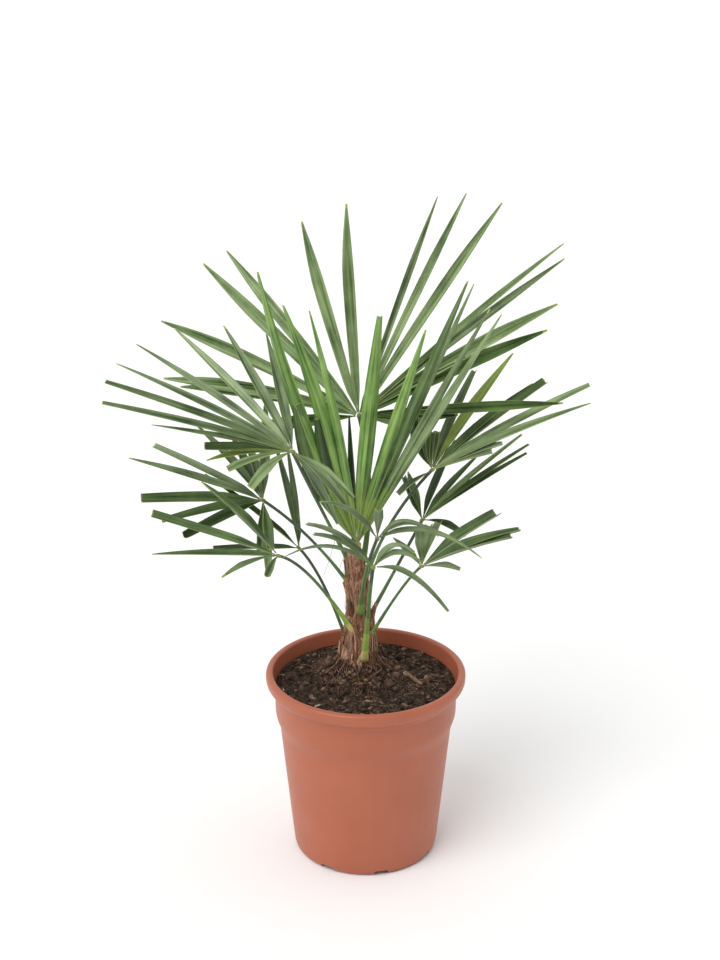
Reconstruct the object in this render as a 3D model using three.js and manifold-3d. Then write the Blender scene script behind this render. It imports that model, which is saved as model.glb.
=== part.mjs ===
// A young windmill palm in its round terracotta-coloured nursery pot.
// Millimetres, +Z up. The origin is the centre of the pot's flat underside, and the
// viewer who sees the plant from the front stands on the -Y side, with +X to the right.

import * as THREE from "three";
import { mergeVertices } from "three/addons/utils/BufferGeometryUtils.js";
import Module from "manifold-3d";

const wasm = await Module();
wasm.setup();

// Pot: a 21 cm round nursery pot, measured over its rolled rim.
const rimRadius = 105;
const potHeight = 204;
const lipHeight = 14;
const lipRound = 3;
const lipUndercut = 1;
const lipInnerRadius = 95.5;
const collarRadius = 95.3;
const collarHeight = 35;
const collarStep = 5;
const wallTopRadius = 91.9;
const wallFootRadius = 77;
const footRadius = 70;
const footHeight = 9;
const footRound = { out: 4.4, up: 2.2 };
const wallThickness = 2.3;
const lipFoot = potHeight - lipHeight;
const collarFoot = lipFoot - collarHeight;
const potSides = 40;

// Drain notches round the edge of the foot. One of them faces the viewer a little to the right.
const drainCount = 8;
const drainStart = 0.28;
const drainInset = 6;
const drainSize = { length: 16, width: 10, height: 3.2 };

// Soil: level some way below the rim, raised into a mound round the foot of the trunk.
const soilTop = 188;
const soilCrown = 3;
const moundTop = 203;
const moundSeatRadius = 25;
const moundFootRadius = 46;
const moundSteps = 4;
const moundCap = 4;
const soilRoughness = 1.6;
const soilClearance = 0.42;

// Trunk: a matted column with a flared foot, a ring where the old sheath ends, and a slim crown.
const trunkFoot = new THREE.Vector3(-8, 20, moundTop);
const trunkHeight = 127;
const trunkLean = new THREE.Vector2(-1, 0);
const trunkRadii = [24, 20, 17.5, 16.5, 17, 14.2, 13.8, 13.2, 12, 10, 8];
const trunkUnevenness = 0.05;
const trunkSides = 12;

// Clearance that every piece keeps to its neighbour.
const gap = 0.35;

// Leaflets: folded strips, widest at the middle, fused where they leave the hub.
const longLeaflet = 150;
const longLeafletSteps = 4;
const shortLeafletSteps = 3;
const leafletSlimness = 6.5;
const leafletRootShare = 0.2;
const leafletWidest = 0.5;
const leafletTaper = 1.5;
const leafletFold = THREE.MathUtils.degToRad(27);
const leafletThicknessShare = 0.0115;
const leafletLeastThickness = 1.4;
const pointedTip = 0.12;
const hubRadius = 5;
const hubClearance = 0.45;
const rootDistance = 3.6;

// Fronds. hub is where the leaflets meet, aim the azimuth and elevation of the fan's
// middle and its roll, sag how far a leaflet's tip drops as a share of its length, and half
// the half width of a leaflet. foot and bow are where the leaf stalk leaves the trunk and how
// far its middle stands off the straight line. Each leaflet is its turn from the fan's middle
// in degrees and its length, then the width its cut tip keeps as a share, its lift out of
// the fan's plane in degrees, its own sag, and its bow: by how many degrees it sets off outwards.
const fronds = [
  {
    name: "top", hub: [-7, 65, 463], aim: [80, 76, 10], sag: 0.03, half: 6.6,
    foot: [-1, 30, 318], bow: [8, 1, 0], stalk: [4, 2.6],
    leaflets: [[-98, 120], [-77.5, 207, 0.12, 2, 0.14], [-76, 229, 0.12, 2, 0.14],
      [-64.5, 255, 0.12, 0, 0.1], [-49.5, 239], [-42.5, 230], [-19.5, 215], [-6, 224],
      [17.5, 245], [23.5, 260], [31.5, 270],
      [46, 286, 0.12, 0, 0.05], [48.5, 277, 0.12, 0, 0.05], [56, 245, 0.12, 0, 0.05],
      [60.5, 223, 0.12, 0, 0.05], [81, 217], [84, 107], [91, 78]],
  },
  {
    name: "young", hub: [-9, 6, 344], aim: [270, 85, 0], sag: 0.02, half: 9,
    foot: [-9, 20, 322], bow: [0, 2, 2], stalk: [5, 4.4],
    leaflets: [[20.5, 172, 0.3, 0, 0.02, 16], [17.5, 316, 0.12, 0, 0.02, 8], [15.5, 150, 0.3, 0, 0.02, 12],
      [15, 276, 0.12, 0, 0.02, -3], [10, 265, 0.12, 0, 0.02, -3], [-5, 256, 0.3],
      [-15.5, 250], [-20, 311], [-22, 304, 0.12, 4], [-26, 293], [-28.5, 293]],
  },
  {
    name: "left_high", hub: [-73, -15, 453], aim: [180, 20, 25], sag: 0.03, half: 5.8,
    foot: [-16, 22, 316], bow: [-6, 2, 10], stalk: [4, 2.4],
    leaflets: [[70, 170], [55.5, 183], [39, 195], [24, 200], [13, 200], [4, 200, 0.5], [-4.5, 196, 0.5],
      [-9, 144], [-20, 92, 0.8], [-22, 90, 0.12, 0, 0.15], [-28, 70, 0.6, 0, 0.25],
      [-48, 55, 0.7, 0, 0.4], [-135, 80, 0.3, 0, 0.2], [-151, 76, 0.3, 0, 0.2], [-165, 70, 0.4, 0, 0.2]],
  },
  {
    name: "left_middle", hub: [-105, 10, 391], aim: [180, 15, 20], sag: 0.03, half: 5.6,
    foot: [-20, 16, 299], bow: [2, 0, 6], stalk: [3.4, 2.2],
    leaflets: [[83.5, 171], [72, 96], [63, 108], [48, 130], [20.5, 131, 0.7], [7.5, 145], [-18, 127, 0.8],
      [-34, 114, 0.6], [-48, 105, 0.7], [-98, 53, 0.7, -23, 0.1], [-112, 65, 0.6, -37, 0.1],
      [-106, 58, 0.7, -6, 0.1]],
  },
  {
    name: "left_front", hub: [-86, -70, 364], aim: [190, 20, 10], sag: 0.04, half: 6,
    foot: [-15, 6, 247], bow: [-4, 4, 16], stalk: [4.8, 2.2],
    leaflets: [[24, 108, 0.12, 21], [4.5, 132, 0.9, 0, 0], [-23, 143, 0.12, 0, 0.01],
      [-31, 72, 0.2, 0, 0.25], [-60, 30, 0.6, 0, 0.4]],
  },
  {
    name: "left_back", hub: [-70, 45, 323], aim: [155, 40, 0], sag: 0.03, half: 4.6,
    foot: [-20, 24, 222], bow: [0, 0, 14], stalk: [3.2, 2],
    leaflets: [[51, 172], [45, 166], [-11.5, 128], [-62, 120, 0.7]],
  },
  {
    name: "right_high", hub: [67, 10, 424], aim: [0, 25, -20], sag: 0.04, half: 5.8,
    foot: [2, 20, 300], bow: [-8, 0, 3], stalk: [3.8, 2.4],
    leaflets: [[155, 42, 0.7, 7, 0.1], [-92, 56, 0.6, 6, 0], [-87, 111], [-60, 150, 0.5], [-48, 179],
      [-29, 146], [-24, 155, 0.85], [-10, 185, 0.5], [-2, 176], [3, 78, 0.5], [9, 66, 0.7],
      [-84, 36, 0.8, 54, 0], [-62, 38, 0.8, 50, 0], [-47, 40, 0.8, 44, 0], [-36, 39, 0.8, 35, 0]],
  },
  {
    name: "right_back", hub: [59, 45, 355], aim: [20, 25, -10], sag: 0.03, half: 5,
    foot: [6, 29, 255], bow: [6, 0, 12], stalk: [3.6, 2.2],
    leaflets: [[-77.5, 83, 0.6], [-73.5, 89], [-46, 129], [-26.5, 113], [-15.5, 154, 0.4],
      [-8, 147, 0.4], [-4, 137, 0.4], [51, 52, 0.4, 0, 0.3]],
  },
  {
    name: "right_front", hub: [56, -30, 335], aim: [352, 15, -10], sag: 0.06, half: 5.2,
    foot: [8, 10, 241], bow: [4, 0, 12], stalk: [3.4, 2],
    leaflets: [[-115.5, 83], [-92, 63, 0.8, 10], [-83, 65, 0.8, 10], [-74, 69, 0.8, 10], [-46.5, 112, 0.85],
      [-26.5, 114, 0.5, 0, 0.1], [-22, 101, 0.6, 0, 0.1], [11, 42, 0.5, 0, 0.2]],
  },
  {
    name: "front_upper", hub: [11, -60, 378], aim: [280, 60, 15], sag: 0.5, half: 5.4,
    foot: [-5, 4, 270], bow: [-3, -8, 6], stalk: [4.4, 2],
    leaflets: [[34, 115, 0.2, 0, 0.3], [4, 50, 0.8, 0, 0.1], [-27, 110, 0.4], [-47, 128]],
  },
  {
    name: "front_lower", hub: [7, -73, 353], aim: [272, 65, 10], sag: 0.5, half: 4.8,
    foot: [-2, 6, 222], bow: [1, -6, 20], stalk: [4.6, 2],
    leaflets: [[47, 122], [38, 97, 0.6, 0, 0.3], [34, 119, 0.6, 0, 0.3], [-20, 108, 0.5], [-31, 87, 0.5],
      [-77, 76, 0.5, 0, 0.68]],
  },
];

// Leaf stalks: flattened rods whose sheath at the foot narrows over a share of their length.
const stalkSides = 6;
const stalkSteps = 7;
const stalkFlatness = 0.7;
const sheathShare = 1 / 3;
const sheathTaper = 0.6;

// Spear: the next leaf, still folded shut, standing on the trunk's top behind the young frond.
const spear = {
  foot: [-12, 25.5, 330.35], tip: [-17, 22, 478], half: 3.6, thickness: 3.4, tipShare: 0.2, steps: 5,
};

// Old stubs: the cut bases of earlier leaf stalks on the trunk, by their turn round it and height.
const stubRadii = [4.2, 2.6];
const stubStand = 3.5;
const stubSink = 1.5;
const stubFlatness = 0.6;
const stubs = [
  { turn: 15, height: 62, length: 22 },
  { turn: 135, height: 88, length: 16 },
  { turn: 180, height: 78, length: 14 },
  { turn: 235, height: 58, length: 18 },
];

const plastic = new THREE.MeshStandardMaterial({ color: 0xb8694f, roughness: 0.5, metalness: 0 });
const compost = new THREE.MeshStandardMaterial({ color: 0x3f2f26, roughness: 1, metalness: 0 });
const fibre = new THREE.MeshStandardMaterial({ color: 0x76523f, roughness: 0.95, metalness: 0 });
const stalkGreen = new THREE.MeshStandardMaterial({ color: 0x5f8a3c, roughness: 0.5, metalness: 0 });
const leafGreen = new THREE.MeshStandardMaterial({ color: 0x4c7a3d, roughness: 0.55, metalness: 0 });
const youngGreen = new THREE.MeshStandardMaterial({ color: 0x7fae55, roughness: 0.5, metalness: 0 });

// Closed three.js geometry to a solid and back, so that pieces can be joined and cut.
function solidOf(geometry) {
  const bare = geometry.clone();
  bare.deleteAttribute("normal");
  bare.deleteAttribute("uv");
  const merged = mergeVertices(bare);
  return new wasm.Manifold(new wasm.Mesh({
    numProp: 3,
    vertProperties: new Float32Array(merged.attributes.position.array),
    triVerts: new Uint32Array(merged.index.array),
  }));
}

function geometryOf(solid) {
  const mesh = solid.getMesh();
  const geometry = new THREE.BufferGeometry();
  geometry.setAttribute("position", new THREE.BufferAttribute(mesh.vertProperties, 3));
  geometry.setIndex(new THREE.BufferAttribute(mesh.triVerts, 1));
  geometry.computeVertexNormals();
  return geometry;
}

// A prism whose points are moved to place(along, across, out): along runs from 0 at its foot
// to 1 at its tip, and across and out go round a unit circle.
function sweep(sides, steps, place) {
  const geometry = new THREE.CylinderGeometry(1, 1, 1, sides, steps);
  const points = geometry.attributes.position;
  for (let i = 0; i < points.count; i += 1) {
    const spot = place(points.getY(i) + 0.5, points.getX(i), points.getZ(i));
    points.setXYZ(i, spot.x, spot.y, spot.z);
  }
  return geometry;
}

// A limb of changing radius along a curve, with one side kept level.
function limb(curve, radiusAt, sides, steps, flatness = 1) {
  return sweep(sides, steps, (along, across, out) => {
    const centre = curve.getPoint(along);
    const ahead = curve.getTangent(along);
    const level = new THREE.Vector3(ahead.y, -ahead.x, 0);
    const side = level.lengthSq() > 1e-6 ? level.normalize() : new THREE.Vector3(1, 0, 0);
    const face = new THREE.Vector3().crossVectors(side, ahead);
    const radius = radiusAt(along);
    return centre.addScaledVector(side, across * radius).addScaledVector(face, out * radius * flatness);
  });
}

function mix(low, high, share) {
  return low + (high - low) * share;
}

// A value read off an evenly spaced list, with straight runs between its entries.
function along(list, share) {
  const spot = share * (list.length - 1);
  const index = Math.min(Math.floor(spot), list.length - 2);
  return mix(list[index], list[index + 1], spot - index);
}

// The pot's wall radius at a height, outside.
function wallRadius(height) {
  return mix(wallFootRadius, wallTopRadius, (height - footHeight) / (collarFoot - footHeight));
}

// The turned solid of an outline of radii and heights.
function turned(outline) {
  const body = new THREE.LatheGeometry(outline.map(([r, z]) => new THREE.Vector2(r, z)), potSides);
  return body.rotateX(Math.PI / 2);
}

function buildPot() {
  const stepFoot = collarFoot - collarStep;
  const outer = [
    [0, 0], [footRadius, 0], [footRadius + footRound.out, footRound.up], [wallFootRadius, footHeight],
    [wallRadius(stepFoot), stepFoot], [collarRadius, collarFoot], [collarRadius, lipFoot],
    [rimRadius - lipUndercut, lipFoot], [rimRadius, lipFoot + lipRound], [rimRadius, potHeight - lipRound],
    [rimRadius - lipRound, potHeight],
  ];
  const inner = [
    [lipInnerRadius + lipRound, potHeight], [lipInnerRadius, potHeight - lipRound],
    [collarRadius - wallThickness, lipFoot], [collarRadius - wallThickness, collarFoot + wallThickness],
    [wallRadius(stepFoot) - wallThickness, stepFoot], [wallFootRadius - wallThickness, footHeight],
    [footRadius, wallThickness], [0, wallThickness],
  ];
  let pot = solidOf(turned([...outer, ...inner]));
  for (let i = 0; i < drainCount; i += 1) {
    const slot = new THREE.BoxGeometry(drainSize.length, drainSize.width, drainSize.height * 2);
    slot.translate(footRadius - drainInset + drainSize.length / 2, 0, 0);
    slot.rotateZ((2 * Math.PI * (i + drainStart)) / drainCount);
    pot = pot.subtract(solidOf(slot));
  }
  return geometryOf(pot);
}

// The soil fills the pot, with a lumpy top, and a mound drawn over to the trunk's foot that ends
// in a level seat under it.
function buildSoil() {
  const stepFoot = collarFoot - collarStep;
  const inner = (radius) => radius - wallThickness - soilClearance;
  const edge = inner(collarRadius);
  const outline = [
    [0, wallThickness + gap], [footRadius - gap, wallThickness + gap],
    [inner(wallFootRadius), footHeight + gap], [inner(wallRadius(stepFoot)), stepFoot],
    [edge, collarFoot + wallThickness + gap], [edge, soilTop - soilCrown],
    [mix(edge, moundFootRadius, 0.25), soilTop], [mix(edge, moundFootRadius, 0.6), soilTop + soilCrown / 2],
  ];
  for (let i = 0; i <= moundSteps; i += 1) {
    const share = i / moundSteps;
    const height = mix(soilTop + soilCrown, moundTop - gap, Math.sin((Math.PI / 2) * share));
    outline.push([mix(moundFootRadius, moundSeatRadius, share), height]);
  }
  outline.push([0, moundTop - gap]);
  const body = turned(outline);
  const points = body.attributes.position;
  for (let i = 0; i < points.count; i += 1) {
    const [x, y, z] = [points.getX(i), points.getY(i), points.getZ(i)];
    const radius = Math.hypot(x, y);
    const turn = Math.atan2(y, x);
    if (z > soilTop - 1 && z < moundTop - moundCap) {
      const lump = Math.sin(3 * turn + radius / 7) + Math.sin(7 * turn - radius / 5);
      points.setZ(i, z + soilRoughness * lump);
    }
    const shift = Math.max(0, (z - soilTop - soilCrown) / (moundTop - gap - soilTop - soilCrown));
    points.setX(i, x + trunkFoot.x * shift);
    points.setY(i, y + trunkFoot.y * shift);
  }
  return geometryOf(solidOf(body));
}

// The trunk's centre line, and its solid grown by a clearance for cutting its neighbours.
const trunkLine = new THREE.QuadraticBezierCurve3(
  trunkFoot,
  trunkFoot.clone().add(new THREE.Vector3(1.5, 0, trunkHeight / 2)),
  trunkFoot.clone().add(new THREE.Vector3(trunkLean.x, trunkLean.y, trunkHeight)),
);

function trunkSolid(extra) {
  const ridge = (share, turn) => (
    1 + trunkUnevenness * (Math.sin(3 * turn + 5 * share) + 0.8 * Math.sin(5 * turn - 9 * share))
  );
  return solidOf(sweep(trunkSides, trunkRadii.length - 1, (share, across, out) => {
    const turn = Math.atan2(out, across);
    const radius = along(trunkRadii, share) * ridge(share, turn) + extra;
    const centre = trunkLine.getPoint(share);
    const top = share === 1 ? extra : 0;
    return new THREE.Vector3(centre.x + across * radius, centre.y - out * radius, centre.z + top);
  }));
}

const trunk = trunkSolid(0);
const trunkClearance = trunkSolid(gap);

// One old stalk base, flattened against the trunk and cut clear of it.
function buildStub({ turn, height, length }) {
  const angle = THREE.MathUtils.degToRad(turn);
  const share = height / trunkHeight;
  const centre = trunkLine.getPoint(share);
  const reach = along(trunkRadii, share);
  const outward = new THREE.Vector3(Math.cos(angle), Math.sin(angle), 0);
  const foot = centre.clone().addScaledVector(outward, reach - stubSink);
  const tip = centre.clone().addScaledVector(outward, reach + stubStand);
  tip.z += length;
  const line = new THREE.LineCurve3(foot, tip);
  const radiusAt = (s) => mix(...stubRadii, s);
  return solidOf(limb(line, radiusAt, stalkSides, 2, stubFlatness)).subtract(trunkClearance);
}

// A fan's own axes: +Y along its middle leaflet, +X across it and +Z out of its upper face.
function fanPlacement({ hub, aim }) {
  const [azimuth, elevation, roll] = aim.map(THREE.MathUtils.degToRad);
  const middle = new THREE.Vector3(
    Math.cos(azimuth) * Math.cos(elevation), Math.sin(azimuth) * Math.cos(elevation), Math.sin(elevation),
  );
  const side = new THREE.Vector3().crossVectors(middle, new THREE.Vector3(0, 0, 1)).normalize();
  side.applyAxisAngle(middle, roll * -1);
  const face = new THREE.Vector3().crossVectors(side, middle);
  return new THREE.Matrix4().makeBasis(side, middle, face).setPosition(...hub);
}

// Half the width of a leaflet along its length, as a share of the widest.
function leafletOutline(share, tip) {
  if (share < leafletWidest) {
    return mix(leafletRootShare, 1, Math.sin((Math.PI / 2) * (share / leafletWidest)));
  }
  return mix(1, tip, ((share - leafletWidest) / (1 - leafletWidest)) ** leafletTaper);
}

// The point of a fan's own space at a turn, a rise out of its plane and a distance from the hub.
function fanPoint(turn, rise, distance) {
  const [angle, lift] = [turn, rise].map(THREE.MathUtils.degToRad);
  return new THREE.Vector3(
    Math.sin(angle) * Math.cos(lift), Math.cos(angle) * Math.cos(lift), Math.sin(lift),
  ).multiplyScalar(distance);
}

function buildLeaflet(frond, down, [turn, length, tip = pointedTip, lift = 0, sag = frond.sag, bow = 0]) {
  const angle = THREE.MathUtils.degToRad(turn);
  const flat = new THREE.Vector3(Math.cos(angle), -Math.sin(angle), 0);
  const line = new THREE.QuadraticBezierCurve3(
    fanPoint(turn, lift, rootDistance),
    fanPoint(turn + bow, lift, (length / 2) * Math.cos(THREE.MathUtils.degToRad(bow))),
    fanPoint(turn, lift, length).addScaledVector(down, sag * length),
  );
  const thickness = Math.max(leafletLeastThickness, leafletThicknessShare * length);
  const half = Math.min(frond.half, length / leafletSlimness);
  const steps = length > longLeaflet ? longLeafletSteps : shortLeafletSteps;
  return solidOf(sweep(4, steps, (share, across, out) => {
    const centre = line.getPoint(share);
    const ahead = line.getTangent(share);
    const side = flat.clone().addScaledVector(ahead, -flat.dot(ahead)).normalize();
    const face = new THREE.Vector3().crossVectors(side, ahead);
    const width = half * leafletOutline(share, tip);
    const height = Math.abs(across) * width * Math.tan(leafletFold) + (out * thickness) / 2;
    return centre.addScaledVector(side, across * width).addScaledVector(face, height);
  }));
}

function hubSolid(extra) {
  return solidOf(new THREE.IcosahedronGeometry(hubRadius + extra, 0));
}

// A fan: every leaflet fused to the hub.
function buildFan(frond) {
  const placement = fanPlacement(frond);
  const toFan = placement.clone().setPosition(0, 0, 0).transpose();
  const down = new THREE.Vector3(0, 0, -1).applyMatrix4(toFan);
  return frond.leaflets.reduce(
    (fan, leaflet) => fan.add(buildLeaflet(frond, down, leaflet)), hubSolid(0),
  );
}

// A leaf stalk from the trunk to the hub, cut clear of both.
function buildStalk(frond) {
  const foot = new THREE.Vector3(...frond.foot);
  const hub = new THREE.Vector3(...frond.hub);
  const centre = foot.clone().lerp(hub, 0.5).add(new THREE.Vector3(...frond.bow).multiplyScalar(2));
  const line = new THREE.QuadraticBezierCurve3(foot, centre, hub);
  const [thick, thin] = frond.stalk;
  const radiusAt = (share) => mix(thick, thin, Math.min(1, share / sheathShare) ** sheathTaper);
  const hubSpace = geometryOf(hubSolid(hubClearance)).applyMatrix4(fanPlacement(frond));
  return solidOf(limb(line, radiusAt, stalkSides, stalkSteps, stalkFlatness))
    .subtract(trunkClearance)
    .subtract(solidOf(hubSpace));
}

function buildSpear() {
  const line = new THREE.LineCurve3(new THREE.Vector3(...spear.foot), new THREE.Vector3(...spear.tip));
  const radiusAt = (share) => spear.half * leafletOutline(share, spear.tipShare);
  return limb(line, radiusAt, stalkSides, spear.steps, spear.thickness / spear.half / 2);
}

function addPiece(parent, name, geometry, material) {
  const mesh = new THREE.Mesh(geometry, material);
  mesh.name = name;
  parent.add(mesh);
  return mesh;
}

const palm = new THREE.Group();
addPiece(palm, "pot", buildPot(), plastic);
addPiece(palm, "soil", buildSoil(), compost);
addPiece(palm, "trunk", geometryOf(trunk), fibre);
stubs.forEach((stub, i) => addPiece(palm, `stub_${i + 1}`, geometryOf(buildStub(stub)), fibre));
addPiece(palm, "spear", buildSpear(), youngGreen);
for (const frond of fronds) {
  const green = frond.name === "young" ? youngGreen : leafGreen;
  addPiece(palm, `stalk_${frond.name}`, geometryOf(buildStalk(frond)), stalkGreen);
  const fan = addPiece(palm, `fan_${frond.name}`, geometryOf(buildFan(frond)), green);
  fan.applyMatrix4(fanPlacement(frond));
}

export default palm;
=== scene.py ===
# A young windmill palm in a round terracotta-coloured nursery pot, seen from the front and a
# little above. Metres, +Z up, the origin at the centre of the pot's flat underside.

import math
import random

import bmesh
import bpy
from mathutils import Matrix, Vector, noise


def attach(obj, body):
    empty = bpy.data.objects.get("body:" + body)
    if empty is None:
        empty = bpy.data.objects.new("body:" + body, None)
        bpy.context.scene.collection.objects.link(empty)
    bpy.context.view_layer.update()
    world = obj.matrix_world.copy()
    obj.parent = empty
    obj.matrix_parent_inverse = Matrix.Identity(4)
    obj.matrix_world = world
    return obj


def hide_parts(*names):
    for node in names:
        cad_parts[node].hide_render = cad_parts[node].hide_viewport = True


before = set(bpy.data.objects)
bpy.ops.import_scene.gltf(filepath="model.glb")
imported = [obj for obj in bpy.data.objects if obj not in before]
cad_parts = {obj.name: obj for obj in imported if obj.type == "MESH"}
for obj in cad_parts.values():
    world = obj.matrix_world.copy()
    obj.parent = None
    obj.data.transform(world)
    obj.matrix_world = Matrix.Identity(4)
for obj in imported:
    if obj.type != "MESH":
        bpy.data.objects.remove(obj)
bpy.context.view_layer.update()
bpy.ops.object.select_all(action="DESELECT")
mm = 0.001

# The camera is held about 1.9 m from the plant and 1.1 m above the floor, tilted down. A lens of
# 69 mm over a frame with a long side of 36 mm gives the photograph's framing.
camera_tilt = math.radians(21.1)
bpy.ops.object.camera_add(
    location=(-6 * mm, -1739 * mm, 1088 * mm), rotation=(math.pi / 2 - camera_tilt, 0, 0)
)
camera = bpy.context.object
camera.data.lens = 69.3
camera.data.sensor_width = 36
bpy.context.scene.camera = camera


# The pot is one thin shell of injection-moulded polypropylene, coloured right through like
# fired clay. It has a rolled lip, a straight collar that stacks on the next pot, a plain tapered
# wall, and drain notches cut through the rounded edge of its foot.
def rounded(corners, steps=5):
    """An outline of (radius, height, rounding) corners in mm, with each corner made an arc."""
    outline = []
    for i, (radius, height, rounding) in enumerate(corners):
        corner = Vector((radius, height))
        if rounding == 0:
            outline.append(corner)
            continue
        before = (Vector(corners[i - 1][:2]) - corner).normalized() * rounding + corner
        after = (Vector(corners[i + 1][:2]) - corner).normalized() * rounding + corner
        for k in range(steps + 1):
            share = k / steps
            outline.append(
                before * (1 - share) ** 2 + corner * 2 * share * (1 - share) + after * share ** 2
            )
    return [point * mm for point in outline]


def turned(name, outline, sides):
    """A ring is drawn up the outline by extruding and resizing it, and both ends are filled."""
    bpy.ops.mesh.primitive_circle_add(
        vertices=sides, radius=outline[0].x, location=(0, 0, outline[0].y), fill_type="NGON"
    )
    made = bpy.context.object
    made.name = name
    bpy.ops.object.mode_set(mode="EDIT")
    bpy.ops.mesh.select_all(action="SELECT")
    bpy.ops.mesh.delete(type="ONLY_FACE")
    bpy.ops.mesh.select_all(action="SELECT")
    for low, high in zip(outline, outline[1:]):
        bpy.ops.mesh.extrude_region_move(
            TRANSFORM_OT_translate={"value": (0, 0, high.y - low.y)}
        )
        bpy.ops.transform.resize(
            value=(high.x / low.x, high.x / low.x, 1), center_override=(0, 0, 0)
        )
    bpy.ops.mesh.edge_face_add()
    bpy.ops.mesh.select_all(action="DESELECT")
    bpy.ops.mesh.select_non_manifold()
    bpy.ops.mesh.edge_face_add()
    bpy.ops.mesh.select_all(action="SELECT")
    bpy.ops.mesh.normals_make_consistent(inside=False)
    bpy.ops.object.mode_set(mode="OBJECT")
    bpy.ops.object.transform_apply(location=True, rotation=True, scale=True)
    return made


def smooth(made, degrees):
    """Shades an object smooth up to an angle between its faces."""
    bpy.ops.object.select_all(action="DESELECT")
    made.select_set(True)
    bpy.context.view_layer.objects.active = made
    bpy.ops.object.shade_smooth_by_angle(angle=math.radians(degrees))


def linear(code):
    """An sRGB hex code as the linear colour that a shader socket takes."""
    channels = [int(code[i:i + 2], 16) / 255 for i in (1, 3, 5)]
    return [c / 12.92 if c <= 0.04045 else ((c + 0.055) / 1.055) ** 2.4 for c in channels] + [1]


def add_node(material, kind, settings=None, inputs=None, stops=()):
    """Adds a shader node. An input given as a socket is linked, and any other is its value.

    The stops of a colour ramp are (position, hex code), lowest first.
    """
    made = material.node_tree.nodes.new(kind)
    for name, value in (settings or {}).items():
        setattr(made, name, value)
    for name, value in (inputs or {}).items():
        if isinstance(value, bpy.types.NodeSocket):
            material.node_tree.links.new(value, made.inputs[name])
        else:
            made.inputs[name].default_value = value
    if stops:
        ramp = made.color_ramp.elements
        while len(ramp) < len(stops):
            ramp.new(1)
        for element, (position, code) in zip(ramp, stops):
            element.position, element.color = position, linear(code)
    return made


def start_material(name, **sockets):
    """A material whose shader has these values, and the shader itself."""
    material = bpy.data.materials.new(name)
    material.use_nodes = True
    shader = material.node_tree.nodes["Principled BSDF"]
    for socket, value in sockets.items():
        shader.inputs[socket.replace("_", " ")].default_value = value
    return material, shader


def link(material, source, target):
    """Links a socket that gives a value to one that takes it."""
    material.node_tree.links.new(source, target)


def finish_material(material, shader, colour, height, strength, depth):
    """Gives the shader its colour and its relief, and hands back the material."""
    relief = add_node(
        material, "ShaderNodeBump", inputs={"Height": height, "Strength": strength, "Distance": depth}
    )
    link(material, colour, shader.inputs["Base Color"])
    link(material, relief.outputs["Normal"], shader.inputs["Normal"])
    return material


# Injection-moulded polypropylene with clay-coloured pigment: a satin skin that mirrors soft light
# in a broad sheen, flow marks a few centimetres long, and faint scuffs from handling.
def make_polypropylene():
    flow_mark, scuff_grain, skin_grain = 60 * mm, 7 * mm, 1.2 * mm
    material, shader = start_material("moulded_polypropylene", IOR=1.49, Specular_IOR_Level=0.5)
    place = add_node(material, "ShaderNodeTexCoord").outputs["Object"]
    flow = add_node(
        material, "ShaderNodeTexNoise", inputs={"Vector": place, "Scale": 1 / flow_mark, "Detail": 3}
    )
    clay = add_node(
        material, "ShaderNodeValToRGB", inputs={"Fac": flow.outputs["Fac"]},
        stops=[(0.3, "#AC5E42"), (0.7, "#B26448")],
    )
    scuffs = add_node(
        material, "ShaderNodeTexNoise",
        inputs={"Vector": place, "Scale": 1 / scuff_grain, "Detail": 6, "Roughness": 0.7},
    )
    polish = add_node(
        material, "ShaderNodeMapRange",
        inputs={"Value": scuffs.outputs["Fac"], "To Min": 0.34, "To Max": 0.52},
    )
    link(material, polish.outputs["Result"], shader.inputs["Roughness"])
    grain = add_node(
        material, "ShaderNodeTexNoise", inputs={"Vector": place, "Scale": 1 / skin_grain}
    )
    return finish_material(
        material, shader, clay.outputs["Color"], grain.outputs["Fac"], strength=0.05, depth=0.1 * mm
    )


pot_height, lip_foot, collar_foot, collar_step = 204, 185.5, 157, 13
lip_swell, foot_radius, foot_height, cap_radius = 6.5, 70, 9, 20
wall_foot_radius, wall_top_radius = 77, 91.9
collar_radius, rim_radius, lip_inner_radius = 95.3, 105, 97.5
wall_thickness, ring_height, ring_depth, ring_half = 1.4, 138, 0.1, 1
foot_tuck, foot_rise, foot_flare, flare_height, lip_draft = 1.2, 0.2, 0.4, 13, 0.4


def wall_radius(height):
    """The wall's outer radius at a height."""
    slope = (wall_top_radius - wall_foot_radius) / (collar_foot - foot_height)
    return wall_foot_radius + slope * (height - foot_height)


step_foot, collar_inner_radius = collar_foot - collar_step, collar_radius - wall_thickness
ring_bottom, ring_top = ring_height - ring_half, ring_height + ring_half
pot = turned("nursery_pot", rounded([
    (foot_radius, 0, 0), (wall_foot_radius - foot_tuck, foot_rise, 5),
    (wall_foot_radius + foot_flare, flare_height, 3), (wall_radius(ring_bottom), ring_bottom, 0),
    (wall_radius(ring_height) - ring_depth, ring_height, 0), (wall_radius(ring_top), ring_top, 0),
    (wall_radius(step_foot), step_foot, 6), (collar_radius, collar_foot, 6.5),
    (collar_radius, lip_foot, 4.5), (rim_radius - lip_draft, lip_foot + lip_swell, 5),
    (rim_radius, pot_height, 4.6), (lip_inner_radius, pot_height, 2.4),
    (collar_inner_radius, lip_foot, 1.5), (collar_inner_radius, collar_foot + wall_thickness, 1.5),
    (wall_radius(step_foot) - wall_thickness, step_foot, 1.5),
    (wall_foot_radius - wall_thickness, foot_height, 3), (foot_radius, wall_thickness, 0),
    (cap_radius, wall_thickness, 0),
]), sides=128)
drain_count, drain_start, drain_reach = 8, 0.28, (foot_radius + 2) * mm
notch_size, notch_rounding = Vector((18, 15, 10)) * mm, 1.8 * mm
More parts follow.
